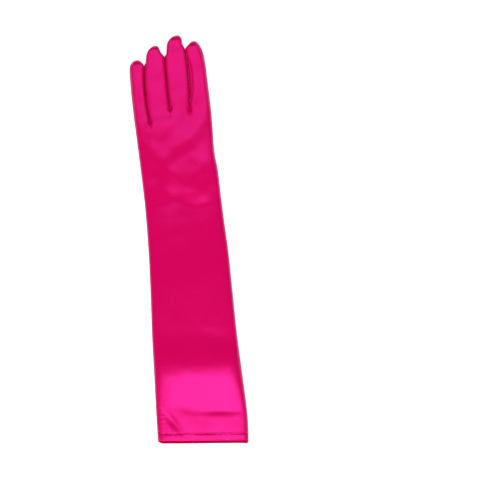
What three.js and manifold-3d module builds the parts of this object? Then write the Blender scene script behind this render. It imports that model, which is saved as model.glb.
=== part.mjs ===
// Satin opera glove for the left hand, lying on its palm with the thumb folded flat beneath it.
// Millimetres. The fingers point to +Y, the index finger is on the +X side, the back of the hand faces +Z.

import * as THREE from 'three';
import { mergeVertices } from 'three/addons/utils/BufferGeometryUtils.js';
import Module from 'manifold-3d';

const wasm = await Module();
wasm.setup();

// Lengths along the glove
const armLength = 410; // hem to the crotch between the ring and middle fingers
const middleLength = 89; // that crotch to the tip of the middle finger
const hemDepth = 12; // cloth turned up at the opening
const hemLip = 5; // how far the lower edge of the opening shows past the upper one
const hemSlant = 9; // the sleeve is this much longer on the index side

// Widths of the glove laid flat
const hemWidth = 111;
const wristWidth = 94;
const knuckleWidth = 95;
const slitWidth = 0.8; // air between two fingers that lie side by side

// Room that the cloth encloses
const sleeveHollow = 13;
const handHollow = 12.6;
const fingerHollow = 12;
const thumbHollow = 1;

// Cloth and seams
const cloth = 1;
const hemCloth = 1.6;
const seamGap = 0.3;
const foldDepth = 2.4; // depth of a full fold in the back of the glove

// Thumb, measured from the crotch line and the middle of the palm
const thumbLength = 75;
const thumbBaseWidth = 30;
const thumbTipWidth = 20;
const thumbDown = 77; // crotch line to the middle of the thumb hole
const thumbAside = 22; // middle of the palm to the middle of the thumb hole
const thumbTurn = 40; // degrees from the fingers' direction towards the little finger
const thumbHoleLength = 26;
const thumbHoleWidth = 18;
const palmShelf = 7; // how far the palm stays raised beyond the thumb
const palmRamp = 9; // and the width over which it then comes down
const backRamp = 26; // the back of the hand comes down over more

// Shares that shape the cross-sections
const sleeveEdge = 0.55; // height of the folded edge, as a share of the section's height
const fingerEdge = 0.72;
const underEdge = 0.18; // how far the folded edge is lifted off the ground
const crownPower = 2.8;
const flatShare = 0.78; // half of a finger's width that lies flat on the ground
const ridgeShare = 0.3; // half of a finger's width on top that is nearly level
const stations = [-1, -flatShare, -ridgeShare, ridgeShare, flatShare, 1]; // places across one finger
const thumbEdge = 0.6; // how much of the thumb's thickness its edge keeps
const foldFade = 4; // a higher power carries the folds closer to the glove's edges

// Shares of the arm over which its section changes, each up to its second number
const handTurn = [0.6, 0.8]; // from the sleeve's height to the hand's
const knuckleTurn = [0.85, 1]; // from the hand's height to the fingers'
const fingerTurn = [0.9, 1]; // from one round section to four beside each other
const crotchTurn = [0.97, 1]; // the edges between the fingers come off the ground

// The arm from hem (0) to crotch line (1). left and right are shares of half the local width, height is a
// share of the section's full height.
const armSections = [
  { at: 0.0, left: 0.995, right: 1.0, height: 0.86 },
  { at: 0.08, left: 0.995, right: 1.044, height: 0.9 },
  { at: 0.2, left: 0.985, right: 1.039, height: 1.0 },
  { at: 0.33, left: 0.977, right: 1.029, height: 1.0 },
  { at: 0.46, left: 0.948, right: 1.048, height: 0.97 },
  { at: 0.58, left: 0.932, right: 1.065, height: 0.95 },
  { at: 0.66, left: 0.935, right: 1.052, height: 0.95 },
  { at: 0.74, left: 0.947, right: 1.047, height: 0.95 },
  { at: 0.82, left: 0.959, right: 1.027, height: 0.98 },
  { at: 0.86, left: 0.968, right: 0.987, height: 1.0 },
  { at: 0.9, left: 0.979, right: 0.977, height: 1.0 },
  { at: 0.95, left: 0.992, right: 0.987, height: 1.0 },
  { at: 1.0, left: 1.006, right: 0.99, height: 1.0 },
];
const widthStops = [
  { at: 0, width: hemWidth },
  { at: 0.74, width: wristWidth },
  { at: 1, width: knuckleWidth },
];

// The lines between the fingers, with the glove's two outer edges first and last. x is a share of the knuckle
// width at the line's root, middle and end, and root is how far the root lies past the crotch line, as a share
// of the middle finger.
const fingerLines = [
  { root: -0.165, x: [-0.503, -0.512, -0.507] },
  { root: -0.165, x: [-0.304, -0.329, -0.314] },
  { root: 0.0, x: [-0.032, -0.042, -0.035] },
  { root: -0.04, x: [0.223, 0.245, 0.238] },
  { root: -0.07, x: [0.495, 0.484, 0.474] },
];
const lineEnd = 0.75; // where a line's end lies past its root, as a share of the middle finger
const linePast = 1.15; // a line is followed this much further than to its end

// Fingertips: across as a share of the knuckle width, and past the crotch line as a share of the middle finger
const fingertips = [
  { across: -0.401, past: 0.71 },
  { across: -0.143, past: 0.885 },
  { across: 0.152, past: 1.0 },
  { across: 0.359, past: 0.9 },
];

// One finger from root (0) to tip (1): shares of its width and height, and how far it has swung to its tip
const fingerSections = [
  { at: 0.02, wide: 1.0, tall: 1.0, low: 0, swing: 0 },
  { at: 0.1, wide: 1.0, tall: 1.0, low: 0, swing: 0 },
  { at: 0.26, wide: 1.0, tall: 0.98, low: 0, swing: 0 },
  { at: 0.45, wide: 0.995, tall: 0.96, low: 0, swing: 0 },
  { at: 0.62, wide: 0.985, tall: 0.95, low: 0, swing: 0.1 },
  { at: 0.74, wide: 0.96, tall: 0.94, low: 0, swing: 0.25 },
  { at: 0.82, wide: 0.89, tall: 0.92, low: 0, swing: 0.5 },
  { at: 0.88, wide: 0.78, tall: 0.89, low: 0, swing: 0.75 },
  { at: 0.93, wide: 0.63, tall: 0.83, low: 0.03, swing: 0.92 },
  { at: 0.965, wide: 0.47, tall: 0.74, low: 0.09, swing: 1 },
  { at: 0.988, wide: 0.28, tall: 0.62, low: 0.17, swing: 1 },
];
const tipHeight = 0.4; // of the very tip, as a share of the finger's height
const fourchetteEnd = 0.78; // a fourchette stops at this share of the shorter finger
const fourchetteTop = 0.93; // and at this share of the height of the finger's side

// Folds and swellings in the back of the glove. along is a share of the arm, across of half the knuckle width,
// turn is in degrees from +X, long and wide are shares of the knuckle width, deep of a full fold (below 0 sinks).
const folds = [
  { along: 0.03, across: 0.0, turn: -4, long: 0.9, wide: 0.09, deep: 0.35 },
  { along: 0.08, across: 0.3, turn: -6, long: 0.8, wide: 0.08, deep: -0.6 },
  { along: 0.09, across: -0.8, turn: -62, long: 0.17, wide: 0.06, deep: -0.5 },
  { along: 0.21, across: 0.0, turn: -4, long: 1.1, wide: 0.2, deep: 0.9 },
  { along: 0.31, across: 0.5, turn: -14, long: 0.3, wide: 0.1, deep: -0.35 },
  { along: 0.48, across: -0.1, turn: 6, long: 0.7, wide: 0.3, deep: 0.25 },
  { along: 0.735, across: 0.05, turn: 20, long: 0.55, wide: 0.09, deep: -0.8 },
  { along: 0.79, across: 0.3, turn: 27, long: 0.45, wide: 0.1, deep: 0.75 },
  { along: 0.86, across: -0.3, turn: 32, long: 0.45, wide: 0.08, deep: -0.75 },
  { along: 0.905, across: 0.5, turn: 40, long: 0.35, wide: 0.1, deep: 0.7 },
  { along: 0.96, across: 0.55, turn: 45, long: 0.3, wide: 0.09, deep: -0.7 },
  { along: 0.9, across: -0.8, turn: 60, long: 0.18, wide: 0.07, deep: -0.5 },
  { along: 0.975, across: -0.35, turn: 12, long: 0.16, wide: 0.07, deep: -0.4 },
];

// How finely the skins are divided
const sleeveRows = 19; // along the arm
const handRows = 14;
const handStart = 0.72; // the hand's closer rows begin at this share of the arm
const thumbRows = 16;
const holeSteps = 12; // a quarter of the oval hole
const fourchetteSteps = 6;

// Heights follow from the room inside and the cloth around it
const sleeveHeight = sleeveHollow + 2 * cloth;
const handHeight = handHollow + 2 * cloth;
const fingerHeight = fingerHollow + 2 * cloth;
const thumbHeight = thumbHollow + 2 * cloth;
const palmLift = thumbHeight + seamGap;

const { clamp, lerp, smoothstep, degToRad } = THREE.MathUtils;

// A smooth curve through one column of a table whose rows are in order of `at`
function column(table, name, at) {
  const last = table.length - 1;
  const spot = clamp(at, table[0].at, table[last].at);
  const i = clamp(table.findIndex((row) => row.at > spot) - 1, 0, last - 1);
  const j = spot >= table[last].at ? last - 1 : i;
  const [before, from, to, after] = [j - 1, j, j + 1, j + 2].map((k) => table[clamp(k, 0, last)]);
  const span = to.at - from.at;
  const leave = ((to[name] - before[name]) / (to.at - before.at)) * span;
  const arrive = ((after[name] - from[name]) / (after.at - from.at)) * span;
  const t = (spot - from.at) / span;
  const rise = t * t * (3 - 2 * t);
  return lerp(from[name], to[name], rise) + t * (1 - t) * ((1 - t) * leave - t * arrive);
}

// Half the glove's width at a share of the arm
function halfWidth(at) {
  const k = at < widthStops[1].at ? 0 : 1;
  const [from, to] = [widthStops[k], widthStops[k + 1]];
  return lerp(from.width, to.width, (at - from.at) / (to.at - from.at)) / 2;
}

// x of a line between two fingers at a height y above the hem, drawn through its three places
function lineX(line, y) {
  const t = clamp((y - rootY(line)) / (lineEnd * middleLength), 0, linePast);
  const [a, b, c] = line.x;
  return knuckleWidth * (a + t * (4 * b - 3 * a - c) + 2 * t * t * (a - 2 * b + c));
}

function rootY(line) {
  return armLength + line.root * middleLength;
}

// How far across the palm a line's root lies, from 0 at the little finger's edge to 1 at the index edge
function rootShare(line) {
  const [first, last] = [fingerLines[0], fingerLines.at(-1)];
  return (line.x[0] - first.x[0]) / (last.x[0] - first.x[0]);
}

// Height of a rounded section at u, which runs from -1 to 1 across it
function crown(u, edge) {
  return edge + (1 - edge) * (1 - Math.abs(u) ** crownPower) ** (1 / crownPower);
}

// The thumb's middle line on the ground: from the middle of its hole to the middle of its round tip
const thumbRoot = new THREE.Vector2(thumbAside, armLength - thumbDown);
const thumbWay = new THREE.Vector2(-Math.sin(degToRad(thumbTurn)), Math.cos(degToRad(thumbTurn)));
const thumbReach = thumbLength - thumbBaseWidth / 2 - thumbTipWidth / 2;

// How far a place on the ground lies outside the thumb
function thumbDistance(x, y) {
  const from = new THREE.Vector2(x, y).sub(thumbRoot);
  const t = clamp(from.dot(thumbWay) / thumbReach, 0, 1);
  return from.addScaledVector(thumbWay, -t * thumbReach).length() - lerp(thumbBaseWidth, thumbTipWidth, t) / 2;
}

// How far the thumb lifts the cloth that lies over it
function thumbLift(x, y, ramp) {
  return palmLift * (1 - smoothstep(thumbDistance(x, y), palmShelf, palmShelf + ramp));
}

// Height of all the folds at one place in the back of the glove; they die out towards its edges
function foldHeight(x, y) {
  const fade = 1 - Math.min(1, Math.abs(x) / halfWidth(clamp(y / armLength, 0, 1))) ** foldFade;
  return fade * folds.reduce((sum, fold) => {
    const dx = (x - (fold.across * knuckleWidth) / 2) / knuckleWidth;
    const dy = (y - fold.along * armLength) / knuckleWidth;
    const turn = degToRad(fold.turn);
    const a = (dx * Math.cos(turn) + dy * Math.sin(turn)) / fold.long;
    const b = (dy * Math.cos(turn) - dx * Math.sin(turn)) / fold.wide;
    return sum + foldDepth * fold.deep * Math.exp(-a * a - b * b);
  }, 0);
}

// A closed skin in rings. Each ring has a top row and a bottom row of points, both from left to right.
class Skin {
  points = [];
  triangles = [];

  ring(top, bottom) {
    const keep = (p) => this.points.push(p) - 1;
    return { top: top.map(keep), bottom: bottom.map(keep) };
  }

  quad(a, b, c, d) {
    this.triangles.push([a, b, c], [a, c, d]);
  }

  // Joins a ring to the next one further along +Y
  join(from, to) {
    const last = from.top.length - 1;
    for (let i = 0; i < last; i += 1) {
      this.quad(from.top[i], from.top[i + 1], to.top[i + 1], to.top[i]);
      this.quad(from.bottom[i + 1], from.bottom[i], to.bottom[i], to.bottom[i + 1]);
    }
    this.quad(from.bottom[0], from.top[0], to.top[0], to.bottom[0]);
    this.quad(from.top[last], from.bottom[last], to.bottom[last], to.top[last]);
  }

  // Closes a ring with a flat end that faces -Y, or +Y where `ahead` is true
  close(ring, ahead = false) {
    for (let i = 0; i < ring.top.length - 1; i += 1) {
      const corners = [ring.bottom[i], ring.bottom[i + 1], ring.top[i + 1], ring.top[i]];
      this.quad(...(ahead ? corners.reverse() : corners));
    }
  }

  // Closes a ring in one point further along +Y
  point(ring, place) {
    const tip = this.points.push(place) - 1;
    const loop = [...ring.top, ...[...ring.bottom].reverse()];
    loop.forEach((from, i) => this.triangles.push([from, loop[(i + 1) % loop.length], tip]));
  }

  solid() {
    const geometry = new THREE.BufferGeometry();
    geometry.setAttribute('position', new THREE.Float32BufferAttribute(this.points.flat(), 3));
    geometry.setIndex(this.triangles.flat());
    return solidOf(geometry);
  }
}

function solidOf(geometry) {
  const bare = geometry.clone();
  bare.deleteAttribute('normal');
  bare.deleteAttribute('uv');
  const merged = mergeVertices(bare, 1e-3);
  const vertProperties = new Float32Array(merged.attributes.position.array);
  const triVerts = new Uint32Array(merged.index.array);
  return new wasm.Manifold(new wasm.Mesh({ numProp: 3, vertProperties, triVerts }));
}

// One place on the skin of the arm: `share` runs across it, `v` across the finger that the place leads to, and
// `inset` draws the skin in by the cloth. `pull` is the way in from the glove's own edge, 0 between the fingers.
function armPlace(at, { share, v, outer, pull }, inset) {
  const half = halfWidth(at);
  const left = -column(armSections, 'left', at) * half;
  const right = column(armSections, 'right', at) * half;
  const x = lerp(left, right, share) + pull * inset;
  const y = lerp(hemSlant * (0.5 - share), crotchLine(share) - inset, at);
  const swell = smoothstep(at, ...fingerTurn);
  const full = armHeight(at);
  const edge = Math.abs(v) === 1 ? underEdge * full : 0;
  const lifted = edge * (outer ? 1 : smoothstep(at, ...crotchTurn));
  const crest = lerp(full * crown(2 * share - 1, sleeveEdge), fingerHeight * crown(v, fingerEdge), swell);
  const top = crest + foldHeight(x, y) + thumbLift(x, y, backRamp);
  return { top: [x, y, top - inset], bottom: [x, y, lifted + thumbLift(x, y, palmRamp) + inset] };
}

function armHeight(at) {
  const sleeve = lerp(sleeveHeight, handHeight, smoothstep(at, ...handTurn));
  return column(armSections, 'height', at) * lerp(sleeve, fingerHeight, smoothstep(at, ...knuckleTurn));
}

// y of the crotch line at a share of the way across the palm
function crotchLine(share) {
  const k = clamp(fingerLines.findIndex((line) => rootShare(line) >= share), 1, fingerLines.length - 1);
  const [from, to] = [fingerLines[k - 1], fingerLines[k]];
  const t = (share - rootShare(from)) / (rootShare(to) - rootShare(from));
  return lerp(rootY(from), rootY(to), t);
}

// The places across the whole arm, finger by finger; neighbours share the place between them
const acrossArm = fingertips.flatMap((tip, k) => {
  const [from, to] = [rootShare(fingerLines[k]), rootShare(fingerLines[k + 1])];
  const [first, last] = [k === 0, k === fingertips.length - 1];
  const places = stations.map((v) => ({
    v,
    share: lerp(from, to, (v + 1) / 2),
    outer: (first && v === -1) || (last && v === 1),
    pull: (first ? (1 - v) / 2 : 0) - (last ? (1 + v) / 2 : 0),
  }));
  return k === 0 ? places : places.slice(1);
});

// The ring of the arm at `at`. The opening's upper edge stands back from its lower edge by `lip`.
function armRing(skin, at, inset, lip = 0) {
  const places = acrossArm.map((place) => armPlace(at, place, inset));
  const stand = (lip) => ([x, y, z]) => [x, y + lip, z];
  return skin.ring(places.map((p) => p.top).map(stand(lip / 2)), places.map((p) => p.bottom).map(stand(-lip / 2)));
}

// The ring of finger k at a row of its table
function fingerRing(skin, k, row, inset) {
  const tip = fingertips[k];
  const tipX = tip.across * knuckleWidth;
  const tipY = armLength + tip.past * middleLength - inset;
  const sides = [fingerLines[k], fingerLines[k + 1]].map((line, i) => {
    const y = lerp(rootY(line) - inset, tipY, row.at);
    const outer = (k === 0 && i === 0) || (k === fingertips.length - 1 && i === 1);
    const wall = inset + (outer ? 0 : slitWidth / 2);
    return { x: lineX(line, y) + (i === 0 ? wall : -wall), y };
  });
  const middle = (sides[0].x + sides[1].x) / 2;
  const centre = lerp(middle, tipX, row.swing);
  const half = ((sides[1].x - sides[0].x) / 2) * row.wide;
  const low = row.low * fingerHeight;
  const places = stations.map((v) => {
    const x = centre + v * half;
    const y = lerp(sides[0].y, sides[1].y, (v + 1) / 2);
    const under = low + (Math.abs(v) === 1 ? underEdge * fingerHeight * row.tall : 0);
    const over = low + (row.tall - row.low) * fingerHeight * crown(v, fingerEdge);
    const raised = foldHeight(x, y) * (1 - row.at) ** 2 + thumbLift(x, y, backRamp);
    return { top: [x, y, over + raised - inset], bottom: [x, y, under + thumbLift(x, y, palmRamp) + inset] };
  });
  return skin.ring(places.map((p) => p.top), places.map((p) => p.bottom));
}

// The rows of the arm from `start` to the crotch line, closer together in the hand
function armRows(start) {
  const rows = [];
  for (let i = 0; i < sleeveRows; i += 1) rows.push(lerp(start, handStart, i / sleeveRows));
  for (let i = 0; i <= handRows; i += 1) rows.push(lerp(handStart, 1, i / handRows));
  return rows;
}

// The closed skin of the whole glove from `start` up, drawn in by `inset`
function gloveSkin(start, inset) {
  const skin = new Skin();
  const rings = armRows(start).map((at) => armRing(skin, at, inset));
  skin.close(rings[0]);
  rings.slice(1).forEach((ring, i) => skin.join(rings[i], ring));
  const root = rings.at(-1);
  fingertips.forEach((tip, k) => {
    const first = k * (stations.length - 1);
    const cut = (row) => row.slice(first, first + stations.length);
    let last = { top: cut(root.top), bottom: cut(root.bottom) };
    fingerSections.forEach((row) => {
      const ring = fingerRing(skin, k, row, inset);
      skin.join(last, ring);
      last = ring;
    });
    const y = armLength + tip.past * middleLength - inset;
    skin.point(last, [tip.across * knuckleWidth, y, tipHeight * fingerHeight]);
  });
  return skin.solid();
}

// A closed skin of the arm alone between two shares of it
function bandSkin(from, to, inset, lip) {
  const skin = new Skin();
  const rings = [from, lerp(from, to, 0.5), to].map((at, i) => armRing(skin, at, inset, i === 0 ? lip : 0));
  skin.close(rings[0]);
  rings.slice(1).forEach((ring, i) => skin.join(rings[i], ring));
  skin.close(rings.at(-1), true);
  return skin.solid();
}

// The thumb pouch's skin, flat on the ground with a round end both ways
function thumbSkin(inset) {
  const skin = new Skin();
  const [base, end] = [-thumbBaseWidth / 2 + inset, thumbReach + thumbTipWidth / 2 - inset];
  const side = new THREE.Vector2(thumbWay.y, -thumbWay.x);
  const place = (along, across, z) => {
    const spot = thumbRoot.clone().addScaledVector(thumbWay, along).addScaledVector(side, across);
    return [spot.x, spot.y, z];
  };
  const rings = [];
  for (let i = 1; i < thumbRows; i += 1) {
    const along = lerp(base, end, (1 - Math.cos((Math.PI * i) / thumbRows)) / 2);
    const t = clamp(along / thumbReach, 0, 1);
    const radius = lerp(thumbBaseWidth, thumbTipWidth, t) / 2 - inset;
    const past = along < 0 ? -along : Math.max(0, along - thumbReach);
    const half = Math.sqrt(Math.max(0, radius * radius - past * past));
    const row = (z, edge) => stations.map((v) => place(along, v * half, Math.abs(v) === 1 ? edge : z));
    const top = row(thumbHeight - inset, lerp(thumbHeight / 2, thumbHeight - inset, thumbEdge));
    rings.push(skin.ring(top, row(inset, lerp(thumbHeight / 2, inset, thumbEdge))));
  }
  rings.slice(1).forEach((ring, i) => skin.join(rings[i], ring));
  skin.point(rings.at(-1), place(end, 0, thumbHeight / 2));
  const heel = skin.points.push(place(base, 0, thumbHeight / 2)) - 1;
  const loop = [...rings[0].bottom, ...[...rings[0].top].reverse()];
  loop.forEach((from, i) => skin.triangles.push([from, loop[(i + 1) % loop.length], heel]));
  return skin.solid();
}

// The oval hole that leads from the palm into the thumb, cut through both
function thumbHole() {
  const oval = new THREE.Shape().absellipse(0, 0, thumbHoleWidth / 2, thumbHoleLength / 2, 0, Math.PI * 2);
  const depth = thumbHeight / 2 + seamGap + 2 * cloth;
  const prism = new THREE.ExtrudeGeometry(oval, { depth, bevelEnabled: false, curveSegments: holeSteps });
  prism.rotateZ(degToRad(thumbTurn));
  prism.translate(thumbRoot.x, thumbRoot.y, thumbHeight / 2);
  return solidOf(prism);
}

// The space that one fourchette takes out of the skin: the side walls of two fingers and the web at their crotch
function fourchetteSpace(k, gap) {
  const line = fingerLines[k];
  const shorter = Math.min(fingertips[k - 1].past, fingertips[k].past) * middleLength;
  const past = 2 * cloth; // so that the space takes in the whole wall and the whole web
  const start = rootY(line) - past - gap;
  const end = lerp(rootY(line), armLength + shorter, fourchetteEnd) + gap;
  const reach = slitWidth / 2 + past;
  const sides = [-reach, reach].map((aside) => {
    const places = [];
    for (let i = 0; i <= fourchetteSteps; i += 1) {
      const y = lerp(start, end, i / fourchetteSteps);
      places.push(new THREE.Vector2(lineX(line, y) + aside, y));
    }
    return places;
  });
  const outline = new THREE.Shape([...sides[0], ...sides[1].reverse()]);
  const low = underEdge * fingerHeight + cloth;
  const high = fourchetteTop * fingerEdge * fingerHeight - cloth;
  const depth = high - low + 2 * gap;
  const prism = new THREE.ExtrudeGeometry(outline, { depth, bevelEnabled: false });
  prism.translate(0, 0, low - gap);
  return solidOf(prism);
}

// The hem's seam, as a share of the arm
const seamAt = hemDepth / armLength;
const openEnd = cloth / armLength; // inner skins run this far past an end that is open

function gloveCloth() {
  return gloveSkin(seamAt, 0).subtract(gloveSkin(seamAt - openEnd, cloth));
}

function trank(cut) {
  const spaces = [1, 2, 3].map((k) => fourchetteSpace(k, seamGap));
  return spaces.reduce((rest, space) => rest.subtract(space), cut).subtract(thumbHole());
}

function hemBand() {
  const end = seamAt - seamGap / armLength;
  return bandSkin(0, end, 0, hemLip).subtract(bandSkin(-openEnd, end + openEnd, hemCloth, hemLip));
}

function thumb() {
  return thumbSkin(0).subtract(thumbSkin(cloth)).subtract(thumbHole());
}

function meshOf(name, solid, material) {
  const { vertProperties, triVerts } = solid.getMesh();
  const geometry = new THREE.BufferGeometry();
  geometry.setAttribute('position', new THREE.BufferAttribute(vertProperties, 3));
  geometry.setIndex(new THREE.BufferAttribute(triVerts, 1));
  geometry.computeVertexNormals();
  const mesh = new THREE.Mesh(geometry, material);
  mesh.name = name;
  return mesh;
}

const satin = new THREE.MeshStandardMaterial({ color: '#d8045c', roughness: 0.38, metalness: 0 });
const deepSatin = new THREE.MeshStandardMaterial({ color: '#c20052', roughness: 0.42, metalness: 0 });

const skin = gloveCloth();
const glove = new THREE.Group();
glove.add(meshOf('trank', trank(skin), satin));
glove.add(meshOf('thumb', thumb(), satin));
glove.add(meshOf('hem_band', hemBand(), satin));
['fourchette_ring_little', 'fourchette_middle_ring', 'fourchette_index_middle'].forEach((name, i) => {
  glove.add(meshOf(name, skin.intersect(fourchetteSpace(i + 1, 0)), deepSatin));
});

// The origin is under the middle of the glove
const bounds = new THREE.Box3().setFromObject(glove);
const middle = bounds.getCenter(new THREE.Vector3());
glove.position.set(-middle.x, -middle.y, -bounds.min.z);

export default glove;
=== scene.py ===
"""Looks of a hot pink satin opera glove that lies on its palm: cloth, seams, stitches, light and camera.

The frame is in metres. +Y runs from the hem to the fingertips, +X to the index finger and +Z out of the back
of the hand. The glove's shape is worked out in millimetres, from its hem and the middle of its palm, and
placed in the frame last.
"""

import math

import bpy
import numpy as np
from bpy.props import FloatProperty, PointerProperty, StringProperty
from bpy.types import Operator, Panel, PropertyGroup
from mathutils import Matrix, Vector


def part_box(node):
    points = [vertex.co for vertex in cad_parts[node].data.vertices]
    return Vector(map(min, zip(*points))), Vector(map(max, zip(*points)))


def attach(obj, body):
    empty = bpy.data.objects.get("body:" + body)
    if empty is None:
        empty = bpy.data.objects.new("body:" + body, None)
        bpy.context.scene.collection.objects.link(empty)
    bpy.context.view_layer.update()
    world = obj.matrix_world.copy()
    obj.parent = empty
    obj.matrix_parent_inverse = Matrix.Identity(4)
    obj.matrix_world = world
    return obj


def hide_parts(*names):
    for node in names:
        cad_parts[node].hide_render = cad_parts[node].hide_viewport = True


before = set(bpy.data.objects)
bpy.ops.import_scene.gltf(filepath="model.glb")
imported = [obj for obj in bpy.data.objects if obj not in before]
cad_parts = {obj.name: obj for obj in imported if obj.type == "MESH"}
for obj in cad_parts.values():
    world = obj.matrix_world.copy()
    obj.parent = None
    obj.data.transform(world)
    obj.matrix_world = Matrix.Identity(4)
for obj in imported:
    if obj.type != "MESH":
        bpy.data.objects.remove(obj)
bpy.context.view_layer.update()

bl_info = {
    "name": "Satin opera glove",
    "version": (1, 0, 0),
    "blender": (4, 5, 0),
    "location": "3D view > Sidebar > Glove",
    "description": "Dresses a long satin glove: cloth panels, seams, stitches, light and camera",
    "category": "Object",
}

MM = 0.001
BODY = "root"


def table(names, *rows):
    """A short table as a column of numbers for each of its names."""
    return dict(zip(names.split(), np.array(rows, float).T))


# The arm from hem (0) to crotch line (1). left and right are shares of half the local width, and height is a
# share of the full height.
ARM = table(
    "at left right height",
    (0.0, 0.995, 1.0, 0.86),
    (0.08, 0.995, 1.044, 0.9),
    (0.2, 0.985, 1.039, 1.0),
    (0.33, 0.977, 1.029, 1.0),
    (0.46, 0.948, 1.048, 0.97),
    (0.58, 0.932, 1.065, 0.95),
    (0.66, 0.935, 1.052, 0.95),
    (0.74, 0.947, 1.047, 0.95),
    (0.82, 0.959, 1.027, 0.98),
    (0.86, 0.968, 0.987, 1.0),
    (0.9, 0.979, 0.977, 1.0),
    (0.95, 0.992, 0.987, 1.0),
    (1.0, 1.006, 0.99, 1.0),
)
WRIST_AT = 0.74

# The lines between the fingers, with the glove's own edges first and last: root is how far the line starts
# past the crotch line, as a share of the middle finger, and the others are shares of the knuckle width.
LINES = table(
    "root start middle end",
    (-0.165, -0.503, -0.512, -0.507),
    (-0.165, -0.304, -0.329, -0.314),
    (0.0, -0.032, -0.042, -0.035),
    (-0.04, 0.223, 0.245, 0.238),
    (-0.07, 0.495, 0.484, 0.474),
)
LINE_END = 0.75  # share of the middle finger at which a line reaches its end value
LINE_PAST = 1.15  # a line goes on past its end by this much at most

FINGERS = ("little", "ring", "middle", "index")
TIPS = table(
    "across past",
    (-0.401, 0.71),
    (-0.143, 0.885),
    (0.152, 1.0),
    (0.359, 0.9),
)

# How far each fingertip spreads to its left and right at a depth below its highest place, in millimetres
TIP_SHAPES = {
    "little": table(
        "below left right",
        (0, 0, 0), (1.2, 4.4, 3.5), (4, 7.6, 6.2), (8, 9.4, 8.6),
        (12, 10.1, 11), (20, 10.9, 14), (30, 12, 16),
    ),
    "ring": table(
        "below left right",
        (0, 0, 0), (1.2, 4.4, 2.6), (4, 8.2, 4.1), (8, 11, 5.4),
        (12, 12.5, 7.8), (16, 13.2, 11), (21, 14.2, 14), (25, 18, 16),
    ),
    "middle": table(
        "below left right",
        (0, 0, 0), (1.2, 5.8, 2.5), (4, 9.8, 4.2), (8, 13, 4.9), (11, 14.2, 4.9),
        (14, 14.8, 5.9), (18, 15.2, 8.2), (22, 15.8, 12), (25, 18.5, 14),
    ),
    "index": table(
        "below left right",
        (0, 0, 0), (1.2, 4.6, 2.8), (4, 7.6, 5), (8, 11.4, 7.2), (12, 14, 8.6),
        (18, 16, 10), (26, 17, 10.8), (34, 18, 12), (60, 20, 15),
    ),
}

# Folds and swellings in the back of the glove: their middle, turn from +X in degrees, half length, half width
# and height
FOLDS = table(
    "x y turn long wide high",
    (27, 36, -5, 27, 4, -0.45),
    (6, 44, -3, 50, 8, -0.35),
    (-35, 30, -56, 17, 5, -1.2),
    (-23, 40, -56, 24, 9, 0.35),
    (0, 91, -4, 104, 27, 3.0),
    (24, 127, -14, 28, 9.5, -0.35),
    (-5, 197, 6, 66, 28, 0.5),
    (0, 262, 8, 60, 16, 0.9),
    (2, 301, 18, 52, 9.5, -0.6),
    (-8, 322, 10, 44, 12, 0.3),
    (31, 334, 42, 24, 10, 0.7),
    (4, 350, 27, 38, 9, -0.9),
    (28, 384, 47, 30, 8.5, 1.0),
    (15, 394, 47, 30, 8, -0.8),
    (-38, 369, 60, 17, 6.7, -1.2),
    (-17, 403, 12, 15, 6, -0.3),
    (-16, 480, 30, 5, 3, -0.6),
    (-15, 444, 10, 8, 6, -0.4),
    (9, 488, 20, 6, 4.5, -0.35),
    (11, 477, 20, 9, 4, -0.5),
    (12, 430, 8, 11, 8, -0.6),
    (35, 452, 10, 8, 7, -0.4),
    (-39, 420, 10, 8, 7, -0.4),
)

THUMB_TURN = math.radians(40)

# Shares of the arm over which its section changes, each from its first number to its second
HAND_TURN = (0.6, 0.8)
KNUCKLE_TURN = (0.85, 1)
SWELL_TURN = (0.965, 1)
CROTCH_TURN = (0.97, 1)

# Rounding of the sections. The higher a power, the squarer the curve
UNDER_EDGE = 0.18  # how far the edge lifts off the ground, as a share of the height
UNDER_POWER = 5
EDGE_FADE = 12  # a higher power carries the folds closer to the glove's edges
TIP_TOP = 9.0  # millimetres over which a finger's back comes down to its tip
TIP_UNDER = 7.0  # millimetres over which its underside comes up to it
TIP_LEVEL = 0.4  # height of the tip, as a share of the finger's height
FINGER_TAPER = 0.94  # height at the far end of a finger, as a share of its height at the root
SEAM_DENT = 0.35  # millimetres by which the seams pull a finger's back down
SEAM_SHARE = 0.08  # share of half a finger's width that they pull
SEAM_RUN = 0.7  # millimetres from the top seam to the line between two fingers
SEAM_RISE = (0, 0.1)  # shares of a finger over which its seams set in
RUN_LIMIT = 0.3  # share of a finger's breadth that a seam stands in from its side at most
SLIVER_RISE = (0, 0.35)  # shares of the index finger over which the strip beside it widens
SLIVER_FALL = (0.5, 0.85)  # and over which it narrows again
SLIVER_LOSS = 0.8  # share of its width that it loses there
SLIT_OPENS = 5  # millimetres past a crotch over which the slit opens
TIP_CALM = 10  # millimetres below a fingertip over which folds die out
STEEP_OUTSIDE = 0.75  # the glove's own side walls are nearly even curves
STEEP_BETWEEN = 0.4  # walls between two fingers stand upright in the middle

# How fine the mesh is
TOP_COLUMNS = 20
PALM_COLUMNS = 10
WALL_STEPS = 8
BAND_ROWS = 25
TIP_ROWS = 14.0  # millimetres of a finger's tip in which the rows draw together
TIP_ROW_COUNT = 18

# Each fourchette's line between the fingers, and its width and length laid flat, in metres
FOURCHETTES = {
    1: ("ring_little", (0.010, 0.122)),
    2: ("middle_ring", (0.010, 0.123)),
    3: ("index_middle", (0.011, 0.131)),
}
FOURCHETTE_END = 0.78  # share of the shorter finger at which a fourchette ends


def lerp(a, b, t):
    """The value at share t of the way from a to b."""
    return a + (b - a) * t


def smoothstep(x, low, high):
    """0 up to low, 1 from high on, and a smooth rise between them."""
    t = np.clip((x - low) / (high - low), 0, 1)
    return t * t * (3 - 2 * t)


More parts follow.
